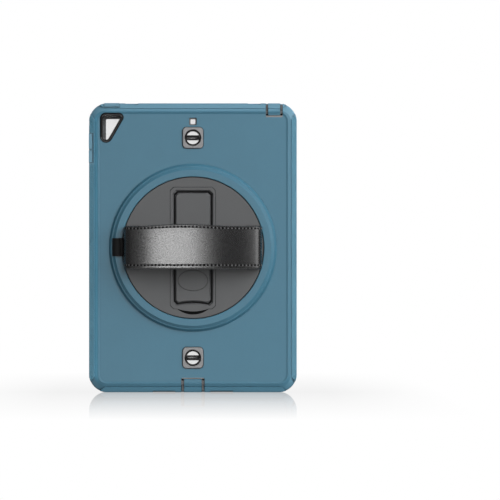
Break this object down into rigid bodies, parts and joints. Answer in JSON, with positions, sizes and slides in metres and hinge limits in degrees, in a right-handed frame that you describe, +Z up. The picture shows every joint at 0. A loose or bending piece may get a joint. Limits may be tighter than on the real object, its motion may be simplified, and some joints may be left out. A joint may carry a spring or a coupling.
{
  "type": "tablet case",
  "caption": "Rugged shell case for a tablet, with a turning disc that carries a hand strap, a stylus loop and a fold-out stand, port flaps, buttons and a front frame.",
  "frame": {"origin": "middle of the flat bottom edge that the upright case stands on", "axes": "+Z up along the long side, +X to the right seen from the back, +Y out of the screen side; the strap is on the -Y side"},
  "size_m": [0.1842, 0.044, 0.2562],
  "materials": {
    "blue_tpu": "matt soft-touch",
    "grey_plastic": "fine matt",
    "light_grey_plastic": "satin",
    "black_plastic": "glossy black",
    "dark_frame": "fine texture",
    "clear_film": "clear glossy film",
    "steel": "polished",
    "black_leather": "smooth coated leather, stitched edges",
    "black_elastic": "woven elastic",
    "white_acetal": "slippery",
    "foam_pad": "thin felt"
  },
  "bodies": {
    "case": {"back_cover": "blue_tpu", "back_shell": "grey_plastic", "camera_bezel": "black_plastic", "upper_anchor_plate": "light_grey_plastic", "lower_anchor_plate": "light_grey_plastic", "upper_anchor_ring": "black_plastic", "lower_anchor_ring": "black_plastic", "upper_anchor_bar": "black_plastic", "lower_anchor_bar": "black_plastic", "glide_ring": "white_acetal", "inner_pad": "foam_pad"},
    "front": {"front_frame": "dark_frame", "front_bumper": "blue_tpu", "screen_film": "clear_film"},
    "disc": {"swivel_disc": "grey_plastic", "disc_retainer": "grey_plastic", "retainer_screws": "steel", "stand_bracket": "grey_plastic", "kickstand_pin": "steel", "strap_bar_left": "steel", "strap_bar_right": "steel", "hand_strap": "black_leather", "pencil_loop": "black_elastic"},
    "kickstand": {"kickstand_leg": "grey_plastic"},
    "headphone_flap": {"headphone_flap": "blue_tpu"},
    "charging_flap": {"charging_flap": "blue_tpu"},
    "power_button": {"power_button": "blue_tpu"},
    "volume_up_button": {"volume_up_button": "blue_tpu"},
    "volume_down_button": {"volume_down_button": "blue_tpu"}
  },
  "joints": [
    {"name": "front_release", "type": "slide", "parent": "case", "child": "front", "axis": [0, 1, 0], "range_m": [0, 0.06]},
    {"name": "disc_swivel", "type": "hinge", "parent": "case", "child": "disc", "pos_m": [0, 0, 0.128], "axis": [0, 1, 0], "continuous": true},
    {"name": "kickstand_hinge", "type": "hinge", "parent": "disc", "child": "kickstand", "pos_m": [0, -0.0116, 0.12], "axis": [-1, 0, 0], "range_deg": [0, 55]},
    {"name": "headphone_flap_hinge", "type": "hinge", "parent": "case", "child": "headphone_flap", "pos_m": [0.072, -0.00735, 0.2459], "axis": [1, 0, 0], "range_deg": [0, 90]},
    {"name": "charging_flap_hinge", "type": "hinge", "parent": "case", "child": "charging_flap", "pos_m": [0, -0.00735, 0.0112], "axis": [-1, 0, 0], "range_deg": [0, 90]},
    {"name": "power_button_press", "type": "slide", "parent": "case", "child": "power_button", "axis": [0, 0, -1], "range_m": [0, 0.0006], "stiffness_N_per_m": 700},
    {"name": "volume_up_press", "type": "slide", "parent": "case", "child": "volume_up_button", "axis": [1, 0, 0], "range_m": [0, 0.0006], "stiffness_N_per_m": 700},
    {"name": "volume_down_press", "type": "slide", "parent": "case", "child": "volume_down_button", "axis": [1, 0, 0], "range_m": [0, 0.0006], "stiffness_N_per_m": 700}
  ]
}
